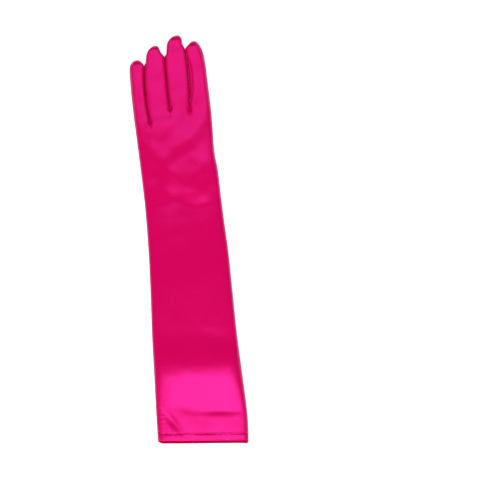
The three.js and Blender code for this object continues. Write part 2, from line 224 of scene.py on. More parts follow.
def column(rows, name, at, key="at"):
    """A smooth curve through one column of a table whose rows are in order of `key`."""
    ats, values = rows[key], rows[name]
    last = len(ats) - 1
    spot = np.clip(at, ats[0], ats[last])
    i = np.clip(np.searchsorted(ats, spot, side="right") - 1, 0, last - 1)
    j = i + 1
    before, after = np.maximum(i - 1, 0), np.minimum(j + 1, last)
    span = ats[j] - ats[i]
    leave = (values[j] - values[before]) / (ats[j] - ats[before]) * span
    arrive = (values[after] - values[i]) / (ats[after] - ats[i]) * span
    t = (spot - ats[i]) / span
    rise = t * t * (3 - 2 * t)
    return lerp(values[i], values[j], rise) + t * (1 - t) * ((1 - t) * leave - t * arrive)


def crown(u, edge, power, reach):
    """Height of a rounded section at u, from -1 to 1 across it. Walls take over at `reach` of the curve."""
    return edge + (1 - edge) * (1 - (reach * np.abs(u)) ** power) ** (1 / power)


def arm_crown(u):
    """Height of the back of the arm, as a share, which is nearly level between two narrow edges."""
    return crown(u, edge=0.42, power=7.0, reach=0.975)


def finger_crown(v):
    """Height of the back of a finger, as a share."""
    return crown(v, edge=0.68, power=4.2, reach=0.955)


def spread(count, rounding=0.6):
    """Places from -1 to 1, closer together towards both ends."""
    even = np.linspace(-1, 1, count + 1)
    return lerp(even, np.sin(even * math.pi / 2), rounding)


class Pattern:
    """The glove's surface in millimetres, worked out from the sizes in the sidebar."""

    def __init__(self, sizes):
        # Each size of the sidebar becomes a value in millimetres under its own name
        for name in sizes.bl_rna.properties.keys():
            if name not in ("rna_type", "name"):
                setattr(self, name, getattr(sizes, name) / MM)
        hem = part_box("hem_band")[0] / MM
        self.shift = np.array([
            hem.x + ARM["left"][0] * self.hem_width / 2,
            hem.y + (self.hem_slant + self.hem_lip) / 2,
            0.0,
        ])
        self.thumb_root = np.array([self.thumb_aside, self.arm_length - self.thumb_down])
        self.thumb_way = np.array([-math.sin(THUMB_TURN), math.cos(THUMB_TURN)])
        self.thumb_reach = self.thumb_length - self.thumb_base_width / 2 - self.thumb_tip_width / 2
        self.waves = self.soft_waves()

    def soft_waves(self, count=14, seed=7):
        """Directions, lengths and phases of the faint waves that lie all over soft cloth."""
        draw = np.random.default_rng(seed)
        angle = draw.uniform(0, math.pi, count)
        length = draw.uniform(14, 48, count)
        phase = draw.uniform(0, 2 * math.pi, count)
        return np.cos(angle) / length, np.sin(angle) / length, phase, length / 48

    def half_width(self, at):
        """Half the arm's width at a share of its length."""
        return np.interp(at, (0, WRIST_AT, 1), (self.hem_width, self.wrist_width, self.knuckle_width)) / 2

    def root_y(self, k):
        """y at which line k between the fingers starts."""
        return self.arm_length + LINES["root"][k] * self.middle_length

    def line_x(self, k, y):
        """x of line k between the fingers at y."""
        t = np.clip((y - self.root_y(k)) / (LINE_END * self.middle_length), 0, LINE_PAST)
        a, b, c = (LINES[name][k] for name in ("start", "middle", "end"))
        return self.knuckle_width * (a + t * (4 * b - 3 * a - c) + 2 * t * t * (a - 2 * b + c))

    def root_share(self, k):
        """Share of the way across the knuckles at which line k starts."""
        start = LINES["start"]
        return (start[k] - start[0]) / (start[-1] - start[0])

    def crotch_line(self, share):
        """y at which the arm ends, at a share of the way across it."""
        lines = range(len(LINES["root"]))
        return np.interp(share, [self.root_share(k) for k in lines], [self.root_y(k) for k in lines])

    def hem_y(self, share):
        """y of the opening; its corner on the little finger's side is rounded off."""
        corner_share = 0.035
        corner = self.hem_corner * np.clip(1 - share / corner_share, 0, 1) ** 2
        return self.hem_slant * (0.5 - share) + corner

    def arm_height(self, at):
        """Full height of the arm's section at a share of its length."""
        sleeve = lerp(self.sleeve_height, self.hand_height, smoothstep(at, *HAND_TURN))
        return column(ARM, "height", at) * lerp(sleeve, self.finger_height, smoothstep(at, *KNUCKLE_TURN))

    def thumb_lift(self, x, y, ramp):
        """How far the thumb lifts the cloth that lies over it."""
        dx, dy = x - self.thumb_root[0], y - self.thumb_root[1]
        way_x, way_y = self.thumb_way
        t = np.clip((dx * way_x + dy * way_y) / self.thumb_reach, 0, 1)
        aside = np.hypot(dx - way_x * t * self.thumb_reach, dy - way_y * t * self.thumb_reach)
        outside = aside - lerp(self.thumb_base_width, self.thumb_tip_width, t) / 2
        lift = self.thumb_height + self.seam_gap
        return lift * (1 - smoothstep(outside, self.palm_shelf, self.palm_shelf + ramp))

    def fold_height(self, x, y):
        """Height of all folds and faint waves at one place. They die out towards the glove's edges."""
        total = np.zeros(np.broadcast(x, y).shape)
        for fx, fy, turn, long, wide, high in zip(*(FOLDS[name] for name in FOLDS)):
            angle = math.radians(turn)
            a = ((x - fx) * math.cos(angle) + (y - fy) * math.sin(angle)) / long
            b = ((y - fy) * math.cos(angle) - (x - fx) * math.sin(angle)) / wide
            total += self.fold_scale * high * np.exp(-a * a - b * b)
        # The hand is livelier than the sleeve, which lies smooth
        sleeve_share, hand_from, hand_to = 0.3, 230, 330
        calm = self.wave_height * lerp(sleeve_share, 1, smoothstep(y, hand_from, hand_to))
        for wave_x, wave_y, phase, high in zip(*self.waves):
            total += calm * high * np.sin(2 * math.pi * (x * wave_x + y * wave_y) + phase)
        edge = np.minimum(1, np.abs(x) / self.half_width(np.clip(y / self.arm_length, 0, 1)))
        return (1 - edge ** EDGE_FADE) * total

    def crotch_pucker(self, x, y):
        """A small dent at each crotch with a raised rim below it, where the seams pull."""
        rim, rim_out, rim_wide, rim_long, rim_sets_in = 0.6, 4.2, 1.6, 0.8, (-1.5, 2.5)
        dent, dent_wide = 1.5, 2.1
        total = np.zeros(np.broadcast(x, y).shape)
        for k in FOURCHETTES:
            dx, dy = x - self.line_x(k, self.root_y(k)), y - self.root_y(k)
            far = np.hypot(dx, dy * rim_long)
            below = smoothstep(-dy, *rim_sets_in)
            total += rim * below * np.exp(-(((far - rim_out) / rim_wide) ** 2))
            total -= dent * np.exp(-((far / dent_wide) ** 2))
        return total

    def hem_relief(self, x, depth):
        """The groove and small gathers along the hem's stitch line, at a depth from the opening."""
        high, pitch, fade = 0.16, 6.1, 3.0
        groove, uneven, groove_wide = 0.16, 0.12, 0.9
        line = depth - self.stitch_line
        gathers = high * np.sin(2 * math.pi * x / pitch + 1.4 * np.sin(x / 9)) * np.exp(-np.abs(line) / fade)
        return gathers - (groove + uneven * np.sin(x / 8 + 1)) * np.exp(-((line / groove_wide) ** 2))

    def edge_gathers(self, x, y, at):
        """Small puckers along the seam on the little finger's side."""
        high, pitch, fade = 0.18, 5.3, 5.0
        inward = x + self.half_width(at)
        return high * np.sin(2 * math.pi * y / pitch + 2 * np.sin(y / 17)) * np.exp(-np.abs(inward) / fade)

    def across(self, count):
        """Places across the whole arm: share of the way across, finger, and v from -1 to 1 on that finger."""
        share, finger, v = [], [], []
        for k in range(len(FINGERS)):
            places = spread(count) if k == 0 else spread(count)[1:]
            share.append(lerp(self.root_share(k), self.root_share(k + 1), (places + 1) / 2))
            finger.append(np.full(len(places), k))
            v.append(places)
        return np.concatenate(share), np.concatenate(finger), np.concatenate(v)

    def arm(self, at, count, on_top, lip=0.0):
        """A grid of places on the back or the palm side of the arm, a row for each of `at`."""
        share, finger, v = self.across(count)
        at = np.asarray(at, float)[:, None]
        left, right = self.arm_edges(at)
        first, last = finger == 0, finger == len(FINGERS) - 1
        pull = first * (1 - v) / 2 - last * (1 + v) / 2
        x = lerp(left, right, share) + pull * self.edge_roll
        y = lerp(self.hem_y(share), self.crotch_line(share), at)
        full = self.arm_height(at)
        if on_top:
            swell = smoothstep(at, *SWELL_TURN)
            crest = lerp(full * arm_crown(2 * share - 1), self.finger_height * finger_crown(v), swell)
            depth = y - self.hem_y(share)
            relief = self.hem_relief(x, depth) + self.edge_gathers(x, y, at)
            bumps = crest + self.fold_height(x, y) + self.crotch_pucker(x, y)
            z = bumps + self.thumb_lift(x, y, self.back_ramp) + relief
            y = y + lip / 2
            z = z - self.lip_dip * (lip / self.hem_lip) ** 4
        else:
            outer = np.where((first & (v < 0)) | (last & (v > 0)), 1.0, smoothstep(at, *CROTCH_TURN))
            z = UNDER_EDGE * full * np.abs(v) ** UNDER_POWER * outer + self.thumb_lift(x, y, self.palm_ramp)
            y = y - lip / 2
            z = z + self.lip_rise * (lip / self.hem_lip) ** 2
        return np.stack(np.broadcast_arrays(x, y, z), axis=-1)

    def arm_edges(self, at):
        """x of the arm's left and right edge at a share of its length."""
        half = self.half_width(at)
        return -column(ARM, "left", at) * half, column(ARM, "right", at) * half

    def finger_rows(self, length):
        """Shares of a finger from root to tip, much closer together in the rounded tip."""
        body = np.arange(self.row_step, length - TIP_ROWS, self.row_step) / length
        rounded = 1 - TIP_ROWS / length * np.linspace(1, 0, TIP_ROW_COUNT)[:-1] ** 2
        return np.concatenate([body, rounded])

    def finger_sides(self, k, t):
        """x and y of a finger's left and right side at shares t of its length."""
        tip_x = TIPS["across"][k] * self.knuckle_width
        tip_y = self.arm_length + TIPS["past"][k] * self.middle_length
        shape = TIP_SHAPES[FINGERS[k]]
        roots = {"depth": np.sqrt(shape["below"]), "left": shape["left"], "right": shape["right"]}
        sides = []
        for i, (name, way) in enumerate((("left", -1), ("right", 1))):
            line = k + i
            y = lerp(self.root_y(line), tip_y, t)
            outer = line in (0, len(FINGERS))
            gap = 0 if outer else self.slit_width / 2 * smoothstep(y - self.root_y(line), 0, SLIT_OPENS)
            rounded = tip_x + way * column(roots, name, np.sqrt(tip_y - y), key="depth")
            straight = self.line_x(line, y) - way * gap
            sides.append((np.maximum(rounded, straight) if way < 0 else np.minimum(rounded, straight), y))
        return sides

    def wall_run(self, k, side, t, breadth):
        """How far a finger's top seam stands in from its side."""
        outer = (k == 0 and side == 0) or (k == len(FINGERS) - 1 and side == 1)
        if outer:
            run = np.full_like(t, self.edge_roll)
        elif k == 3:
            narrowed = 1 - SLIVER_LOSS * smoothstep(t, *SLIVER_FALL)
            run = self.sliver_width * smoothstep(t, *SLIVER_RISE) * narrowed
        else:
            run = SEAM_RUN * smoothstep(t, *SEAM_RISE)
        return np.minimum(run, RUN_LIMIT * breadth)

    def finger(self, k, count_top, count_bottom, wall):
        """Grids of places on one finger past its root row: top, bottom, left and right wall, and its tip."""
        tip_y = self.arm_length + TIPS["past"][k] * self.middle_length
        t = self.finger_rows(tip_y - self.root_y(k))
        (left, left_y), (right, right_y) = self.finger_sides(k, t)
        breadth = right - left
        runs = [self.wall_run(k, side, t, breadth)[:, None] for side in (0, 1)]
        below = ((1 - t) * (tip_y - self.root_y(k)))[:, None]
        round_end = np.sqrt(1 - (1 - np.clip(below / TIP_TOP, 0, 1)) ** 2)
        tip_z = TIP_LEVEL * self.finger_height
        height = lerp(tip_z, self.finger_height * lerp(1, FINGER_TAPER, t[:, None]), round_end)
        floor = tip_z * (1 - np.sqrt(1 - (1 - np.clip(below / TIP_UNDER, 0, 1)) ** 2))

        def grid(count, on_top):
            v = spread(count)[None, :]
            x = lerp(left[:, None] + runs[0], right[:, None] - runs[1], (v + 1) / 2)
            y = lerp(left_y[:, None], right_y[:, None], (v + 1) / 2)
            if on_top:
                lift = self.thumb_lift(x, y, self.back_ramp)
                seam = np.exp(-(((1 - np.abs(v)) / SEAM_SHARE) ** 2)) * smoothstep(t[:, None], *SEAM_RISE)
                bumps = self.fold_height(x, y) + self.crotch_pucker(x, y)
                bumps = bumps * smoothstep(below, 0, TIP_CALM)
                z = floor + (height - floor) * finger_crown(v) + lift + bumps - SEAM_DENT * seam
            else:
                edge = UNDER_EDGE * (height - floor) * np.abs(v) ** UNDER_POWER
                z = floor + edge + self.thumb_lift(x, y, self.palm_ramp)
            return np.stack(np.broadcast_arrays(x, y, z), axis=-1)

        top, bottom = grid(count_top, True), grid(count_bottom, False)
        first, last = k == 0, k == len(FINGERS) - 1
        walls = [
            self.wall(top[:, 0], bottom[:, 0], left, wall, STEEP_OUTSIDE if first else STEEP_BETWEEN),
            self.wall(top[:, -1], bottom[:, -1], right, wall, STEEP_OUTSIDE if last else STEEP_BETWEEN),
        ]
        tip_x = TIPS["across"][k] * self.knuckle_width
        return top, bottom, walls[0], walls[1], np.array([tip_x, tip_y, tip_z])

    def wall(self, upper, lower, side_x, count, steep=STEEP_OUTSIDE):
        """The inner places of a wall that bulges out to side_x between an upper and a lower edge."""
        w = (np.arange(1, count) / count)[None, :]
        x = lerp(upper[:, :1], lower[:, :1], w)
        bulge = (np.asarray(side_x)[:, None] - (upper[:, :1] + lower[:, :1]) / 2) * np.sin(math.pi * w)
        y = lerp(upper[:, 1:2], lower[:, 1:2], w)
        z = lerp(upper[:, 2:3], lower[:, 2:3], lerp((1 - np.cos(math.pi * w)) / 2, w, steep))
        return np.stack([x + bulge, y, z], axis=-1)

    def placed(self, points):
        """Places in the frame, in metres."""
        return (np.asarray(points) + self.shift) * MM


class Cloth:
    """Points and faces of one piece of cloth, with where each face corner lies on the flat cloth."""

    def __init__(self):
        self.points = np.zeros((0, 3))
        self.faces = []
        self.flat = []

    def add(self, points):
        """Adds a grid or a row of points and gives back their numbers in the same arrangement."""
        points = np.asarray(points, float)
        first = len(self.points)
        self.points = np.vstack([self.points, points.reshape(-1, 3)])
        return first + np.arange(points.size // 3).reshape(points.shape[:-1])

    def grid(self, index, flip=False, keep=None):
        """Faces over a grid of point numbers, of which `keep` says which stay. Rows run along the glove."""
        places = self.points[index]
        across = np.linalg.norm(np.diff(places, axis=1), axis=2)
        u = np.concatenate([np.zeros((len(places), 1)), np.cumsum(across, axis=1)], axis=1)
        v = places[:, :, 1]
        corners = [(0, 0), (0, 1), (1, 1), (1, 0)]
        if flip:
            corners.reverse()
        rows, columns = index.shape[0] - 1, index.shape[1] - 1
        pick = [np.s_[r:r + rows, c:c + columns] for r, c in corners]
        quads = np.stack([index[p] for p in pick], axis=-1).reshape(-1, 4)
        flat = np.stack([np.stack([u[p], v[p]], axis=-1) for p in pick], axis=2).reshape(-1, 4, 2)
        if keep is not None:
            stay = keep.reshape(-1)
            quads, flat = quads[stay], flat[stay]
        self.faces.extend(quads.tolist())
        self.flat.extend(flat.tolist())

    def fan(self, loop, place):
        """Closes a loop of points in one more point."""
        last = int(self.add([place])[0])
        for a, b in zip(loop, np.roll(loop, -1)):
            self.faces.append([int(a), int(b), last])
            self.flat.append([self.points[n][:2].tolist() for n in (a, b, last)])

    def mesh(self, name, pattern):
        """The cloth as a mesh in the frame, with its flat cloth as the UV map."""
        mesh = bpy.data.meshes.new(name)
        mesh.from_pydata(pattern.placed(self.points).tolist(), [], self.faces)
        layer = mesh.uv_layers.new(name="cloth")
        flat = np.array([c for face in self.flat for c in face]) * MM
        layer.data.foreach_set("uv", flat.ravel())
        mesh.polygons.foreach_set("use_smooth", np.ones(len(mesh.polygons), bool))
        mesh.validate()
        return mesh


def linked_object(name, data):
    """An object at the origin that holds a mesh, a light or a camera."""
    piece = bpy.data.objects.new(name, data)
    bpy.context.scene.collection.objects.link(piece)
    return piece


def plain_mesh(piece):
    """Applies a piece's modifiers, so that what is left is a plain mesh."""
    seen = piece.evaluated_get(bpy.context.evaluated_depsgraph_get())
    made = bpy.data.meshes.new_from_object(seen)
    made.name = piece.name
    piece.modifiers.clear()
    piece.data = made
    return piece


def thickened(piece, thickness, rounded=0.0):
    """Gives cloth its wall, inwards, so that the outer face stays where it is."""
    wall = piece.modifiers.new("wall", "SOLIDIFY")
    wall.thickness = thickness
    wall.offset = -1
    if rounded:
        edge = piece.modifiers.new("rolled_edge", "BEVEL")
        edge.width = rounded
        edge.segments = 3
        edge.limit_method = "ANGLE"
        edge.angle_limit = math.radians(60)
    return plain_mesh(piece)


def finish_piece(piece, material, slot, *nodes):
    """Gives a piece its material and what it rides on, and hides the CAD parts that it stands for."""
    piece.data.materials.clear()
    piece.data.materials.append(material)
    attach(piece, BODY)
    if nodes:
        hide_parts(*nodes)


def linear(hex_colour):
    """Linear red, green, blue and alpha of an sRGB colour written as #rrggbb."""
    parts = [int(hex_colour[i:i + 2], 16) / 255 for i in (1, 3, 5)]
    return [c / 12.92 if c <= 0.04045 else ((c + 0.055) / 1.055) ** 2.4 for c in parts] + [1.0]


def set_inputs(tree, node, inputs):
    """Sets inputs of a node, each to a value or to the socket that feeds it."""
    for key, value in inputs.items():
        if isinstance(value, bpy.types.NodeSocket):
            tree.links.new(value, node.inputs[key])
        else:
            node.inputs[key].default_value = value


def add_node(tree, kind, inputs=None, **settings):
    """Adds a node with its own settings and its inputs."""
    node = tree.nodes.new(kind)
    for name, value in settings.items():
        setattr(node, name, value)
    set_inputs(tree, node, inputs or {})
    return node


def metres(name, description, default):
    """A length of the sidebar, in metres."""
    return FloatProperty(name=name, description=description, default=default, unit="LENGTH")


class GloveSizes(PropertyGroup):
    """Sizes of the glove laid flat and as it lies"""

    arm_length: metres("Arm length", "Hem to the crotch line", 0.410)
    middle_length: metres("Middle finger", "Crotch line to the middle fingertip", 0.089)
    hem_width: metres("Hem width", "Opening laid flat", 0.111)
    wrist_width: metres("Wrist width", "Wrist laid flat", 0.094)
    knuckle_width: metres("Knuckle width", "Hand laid flat", 0.095)
    hem_depth: metres("Hem depth", "Cloth turned up at the opening", 0.012)
    hem_lip: metres("Hem lip", "How far the lower layer shows past the upper one", 0.005)
    lip_dip: metres("Lip dip", "How far the upper edge of the opening sinks", 0.0007)
    lip_rise: metres("Lip rise", "How far the lower edge of the opening lifts", 0.0017)
    hem_slant: metres("Hem slant", "How much longer the sleeve is on the index side", 0.009)
    hem_corner: metres("Hem corner", "How far the hem's left corner is rounded off", 0.0016)
    stitch_line: metres("Stitch line", "Hem's stitches from the opening", 0.0108)
    slit_width: metres("Slit", "Air between two fingers side by side", 0.00003)
    sleeve_height: metres("Sleeve height", "Sleeve as it lies", 0.015)
    hand_height: metres("Hand height", "Hand as it lies", 0.0146)
    finger_height: metres("Finger height", "Finger as it lies", 0.014)
    thumb_height: metres("Thumb height", "Folded thumb", 0.003)
    thumb_length: metres("Thumb length", "Thumb pouch", 0.075)
    thumb_base_width: metres("Thumb base", "Width at its root", 0.030)
    thumb_tip_width: metres("Thumb tip", "Width at its tip", 0.020)
    thumb_down: metres("Thumb hole down", "Crotch line to the thumb hole", 0.077)
    thumb_aside: metres("Thumb hole aside", "Middle of the palm to the thumb hole", 0.022)
    hole_length: metres("Hole length", "Oval thumb hole", 0.026)
    hole_width: metres("Hole width", "Oval thumb hole", 0.018)
    palm_shelf: metres("Palm shelf", "Palm stays raised this far past the thumb", 0.007)
    palm_ramp: metres("Palm ramp", "Palm then comes down over this", 0.009)
    back_ramp: metres("Back ramp", "Back comes down over this", 0.026)
    hem_gap: metres("Hem gap", "Hem to the panel it is sewn to", 0.00005)
    seam_gap: metres("Seam gap", "Between two pieces of cloth", 0.0003)
    edge_roll: metres("Edge roll", "How far the folded edge rounds off", 0.0022)
    sliver_width: metres("Sliver", "Strip that shows beside the index finger", 0.0042)
    wave_height: metres("Waves", "Height of the faint waves in the cloth", 0.0001)
    fold_scale: metres("Folds", "Scales the height of the folds", 0.001)
    row_step: metres("Row step", "Length of one mesh row", 0.0015)


class ClothSettings(PropertyGroup):
    """Cloth, thread and their colours"""

    wall: metres("Cloth", "Thickness of the satin", 0.0008)
    hem_wall: metres("Hem", "Thickness of the turned hem", 0.0016)
    satin: StringProperty(name="Satin", description="Colour of the satin", default="#b90048")
    satin_light: StringProperty(
        name="Satin light", description="Where the satin's nap turns", default="#c50150")
    # Painted shade: the satin between the fingers is given a deeper pink because it lies in shade there
    shade: StringProperty(name="Between fingers", description="Satin between the fingers", default="#b80046")
    # The thread's lighter pink is partly its own colour and partly painted light, which offsets the shade
    # that falls on each small stitch
    thread: StringProperty(name="Thread", description="Colour of the thread", default="#e01070")
    gloss_tint: StringProperty(
        name="Gloss tint", description="Colour of the satin's gloss", default="#ff42cc")
    roughness: FloatProperty(
        name="Roughness", description="Roughness of the satin", default=0.36, min=0, max=1)
    grain: metres("Grain", "Size of the slubs in the weave", 0.0022)
    pitch: metres("Stitch pitch", "From stitch to stitch", 0.0026)
    stitch: metres("Stitch length", "One stitch", 0.0019)
    thread_width: metres("Thread width", "One thread", 0.0005)


class StageSettings(PropertyGroup):
    """Camera, floor and lamps"""

    distance: metres("Camera distance", "Above the glove", 1.6)
    frame_width: metres("Frame width", "Width that shows", 0.5901)
    aside: metres("Camera aside", "Middle of the picture", 0.0667)
    along: metres("Camera along", "Middle of the picture", -0.0038)
    turn: FloatProperty(name="Picture tilt", description="Glove's lean in degrees", default=-5.28)
    floor: StringProperty(name="Floor", description="Colour of the floor", default="#e6e6e6")
    glow: FloatProperty(name="Floor glow", description="Light that comes up through the floor", default=0.6)
    key: FloatProperty(name="Key light", description="Watts", default=9.6)
    side: FloatProperty(name="Side light", description="Watts", default=27.0)
    fill: FloatProperty(name="Fill light", description="Watts", default=2.4)
    sky: FloatProperty(name="Sky", description="Strength of the even light overhead", default=0.22)


def satin_material(name, colour, lighter, cloth):
    """Polyester satin. Its face is all long floats, so the gloss is soft, pink and runs along the threads."""
    material = bpy.data.materials.new(name)
    material.use_nodes = True
    tree = material.node_tree
    tree.nodes.clear()
    place = add_node(tree, "ShaderNodeTexCoord").outputs["Object"]
    # The real threads lie 0.1 mm apart and can't show, so the weave is drawn as slubs the size of the grain
    stretched = add_node(tree, "ShaderNodeMapping", {"Vector": place, "Scale": (1.0, 0.35, 1.0)})
    slubs = add_node(
        tree, "ShaderNodeTexNoise",
        {"Vector": stretched.outputs["Vector"], "Scale": 1 / cloth.grain, "Detail": 2.0, "Roughness": 0.6})
    drift = add_node(tree, "ShaderNodeTexNoise", {"Vector": place, "Scale": 22.0, "Detail": 1.0})
    blend = add_node(
        tree, "ShaderNodeMath", {0: slubs.outputs["Fac"], 1: drift.outputs["Fac"]}, operation="MULTIPLY")
    colours = add_node(
        tree, "ShaderNodeMix", {"Factor": blend.outputs[0], 6: linear(colour), 7: linear(lighter)},
        data_type="RGBA")
    bump = add_node(
        tree, "ShaderNodeBump",
        {"Height": slubs.outputs["Fac"], "Strength": 0.35, "Distance": 0.0003})
    tangent = add_node(tree, "ShaderNodeTangent", direction_type="UV_MAP", uv_map="cloth")
    shader = add_node(
        tree, "ShaderNodeBsdfPrincipled",
        {
            "Base Color": colours.outputs[2],
            "Roughness": cloth.roughness,
            "IOR": 1.75,
            "Specular IOR Level": 0.5,
            "Specular Tint": linear(cloth.gloss_tint),
            "Anisotropic": 0.7,
            "Sheen Weight": 0.02,
            "Sheen Roughness": 0.3,
            "Sheen Tint": linear(cloth.gloss_tint),
            "Normal": bump.outputs["Normal"],
            "Tangent": tangent.outputs["Tangent"],
        })
    add_node(tree, "ShaderNodeOutputMaterial", {"Surface": shader.outputs["BSDF"]})
    return material


def material_of(kind):
    """One of the glove's finishes, made the first time that it is asked for.

    The satin between the fingers is the same cloth in a deeper pink, which is painted shade, as it lies in
    shade. The thread is polyester in a lighter pink, part of which is painted light against the shade on each
    small stitch; its gloss lets each stitch stand out from the cloth.
    """
    cloth = bpy.context.scene.glove_cloth
    made = bpy.data.materials.get(kind)
    if made:
        return made
    colours = {
        "woven_satin": (cloth.satin, cloth.satin_light),
        "woven_satin_between_fingers": (cloth.shade, cloth.satin_light),
        "polyester_thread": (cloth.thread, cloth.satin_light),
    }
    return satin_material(kind, *colours[kind], cloth)


def arm_rows(pattern, start, end):
    """Shares of the arm at which its mesh rows lie."""
    count = max(2, round((end - start) * pattern.arm_length / pattern.row_step))
    return np.linspace(start, end, count + 1)


def hole_share(pattern, places):
    """Share of the oval hole's radius at which places lie."""
    dx, dy = places[..., 0] - pattern.thumb_root[0], places[..., 1] - pattern.thumb_root[1]
    c, s = math.cos(THUMB_TURN), math.sin(THUMB_TURN)
    across = (dx * c + dy * s) / (pattern.hole_width / 2)
    along = (dy * c - dx * s) / (pattern.hole_length / 2)
    return np.hypot(across, along)


def cut_hole(pattern, cloth, index):
    """Which faces of a palm grid stay, once the places on the hole's rim are drawn onto its oval."""
    share = hole_share(pattern, cloth.points[index])
    inside = share < 1
    gone = inside[:-1, :-1] & inside[1:, :-1] & inside[:-1, 1:] & inside[1:, 1:]
    rim = np.zeros_like(inside)
    for r, c in ((0, 0), (0, 1), (1, 1), (1, 0)):
        rows, columns = gone.shape
        rim[r:r + rows, c:c + columns] |= ~gone
    middle_share = 0.3
    rim &= inside & (share > middle_share)
    numbers = index[rim]
    centre = pattern.thumb_root
    cloth.points[numbers, :2] = centre + (cloth.points[numbers, :2] - centre) / share[rim][:, None]
    return ~gone


def arm_tube(cloth, pattern, rows, lip=0.0, with_hole=False):
    """Adds a length of the arm to a cloth: back, palm side and side walls. Gives back their point numbers."""
    top = cloth.add(pattern.arm(rows, TOP_COLUMNS, True, lip))
    palm = cloth.add(pattern.arm(rows, PALM_COLUMNS, False, lip))
    walls = []
    for edge, side_x in zip((0, -1), pattern.arm_edges(rows)):
        upper, lower = cloth.points[top[:, edge]], cloth.points[palm[:, edge]]
        walls.append(cloth.add(pattern.wall(upper, lower, side_x, WALL_STEPS)))
    cloth.grid(top)
    cloth.grid(palm, flip=True, keep=cut_hole(pattern, cloth, palm) if with_hole else None)
    cloth.grid(np.hstack([top[:, :1], walls[0], palm[:, :1]]), flip=True)
    cloth.grid(np.hstack([top[:, -1:], walls[1], palm[:, -1:]]))
    return top, palm, walls


def glove_panels(pattern, start):
    """The trank and the three fourchettes from `start` of the arm to the tips, as cloth without a wall."""
    trank = Cloth()
    top, palm, walls = arm_tube(trank, pattern, arm_rows(pattern, start, 1), with_hole=True)

    webs = {}
    for k in FOURCHETTES:
        upper, lower = top[-1, k * TOP_COLUMNS], palm[-1, k * PALM_COLUMNS]
        ends = trank.points[[upper]], trank.points[[lower]]
        webs[k] = pattern.wall(*ends, ends[0][:, 0], WALL_STEPS)[0]

    strips = {}
    for k in range(len(FINGERS)):
        grids = pattern.finger(k, TOP_COLUMNS, PALM_COLUMNS, WALL_STEPS)
        top_root = top[-1:, k * TOP_COLUMNS:(k + 1) * TOP_COLUMNS + 1]
        palm_root = palm[-1:, k * PALM_COLUMNS:(k + 1) * PALM_COLUMNS + 1]
        finger_top = np.vstack([top_root, trank.add(grids[0])])
        finger_palm = np.vstack([palm_root, trank.add(grids[1])])
        trank.grid(finger_top)
        trank.grid(finger_palm, flip=True)
        loops = []
        for side in (0, 1):
            inner = grids[2 + side]
            border = np.s_[:, :1] if side == 0 else np.s_[:, -1:]
            edge = finger_top[border], finger_palm[border]
            line = k + side
            if line in (0, len(FINGERS)):
                numbers = np.vstack([walls[side][-1:], trank.add(inner)])
                cut = 0
            else:
                ends = [TIPS["past"][n] * pattern.middle_length for n in (line - 1, line)]
                stop = lerp(pattern.root_y(line), pattern.arm_length + min(ends), FOURCHETTE_END)
                cut = int(np.argmax(inner[:, 0, 1] > stop)) + 1
                numbers = np.full((len(inner) + 1, WALL_STEPS - 1), -1)
                numbers[cut:] = trank.add(inner[cut - 1:])
                whole = np.concatenate([
                    trank.points[edge[0][:, 0]][:, None],
                    np.concatenate([webs[line][None], inner]),
                    trank.points[edge[1][:, 0]][:, None],
                ], axis=1)[:cut + 1]
                strips.setdefault(line, {})[side] = whole
            trank.grid(np.hstack([edge[0], numbers, edge[1]])[cut:], flip=side == 0)
            loops.append(numbers[-1])
        loop = np.concatenate([finger_top[-1], loops[1], finger_palm[-1][::-1], loops[0][::-1]])
        trank.fan(loop, grids[4])

    fourchettes = {}
    for line, pair in strips.items():
        # Down the right wall of the finger on the left, round the crotch, and up the finger on the right
        strip = Cloth()
        strip.grid(strip.add(np.concatenate([pair[1][::-1], pair[0][1:]])), flip=True)
        fourchettes[line] = strip
    return trank, fourchettes


class GLOVE_OT_panels(Operator):
    """Makes the trank and the three fourchettes"""

    bl_idname = "glove.panels"
    bl_label = "Trank and fourchettes"

    def execute(self, context):
        pattern, cloth = Pattern(context.scene.glove_sizes), context.scene.glove_cloth
        trank, fourchettes = glove_panels(pattern, pattern.hem_depth / pattern.arm_length)
        piece = thickened(linked_object("satin_trank", trank.mesh("satin_trank", pattern)), cloth.wall)
        finish_piece(piece, material_of("woven_satin"), "satin", "trank")
        # Cut as one piece and folded at the index edge, so twice the glove's width before it is sewn
        for line, strip in sorted(fourchettes.items()):
            place, flat = FOURCHETTES[line]
            name = "satin_fourchette_" + place
            piece = thickened(linked_object(name, strip.mesh(name, pattern)), cloth.wall)
            # The strips between the fingers take the satin with painted shade, a deeper pink
            material = material_of("woven_satin_between_fingers")
            finish_piece(piece, material, "fourchette_satin", "fourchette_" + place)
        return {"FINISHED"}


class GLOVE_OT_hem_band(Operator):
    """Makes the doubled cloth turned up at the opening"""

    bl_idname = "glove.hem_band"
    bl_label = "Hem band"

    def execute(self, context):
        pattern, cloth = Pattern(context.scene.glove_sizes), context.scene.glove_cloth
        end = (pattern.hem_depth - pattern.hem_gap) / pattern.arm_length
        rows = np.linspace(0, end, BAND_ROWS)
        lip = pattern.hem_lip * np.clip(1 - 2 * rows / end, 0, 1)[:, None]
        band = Cloth()
        arm_tube(band, pattern, rows, lip)
        piece = linked_object("satin_hem_band", band.mesh("satin_hem_band", pattern))
        thickened(piece, cloth.hem_wall, rounded=0.0005)
        finish_piece(piece, material_of("woven_satin"), "satin", "hem_band")
        return {"FINISHED"}


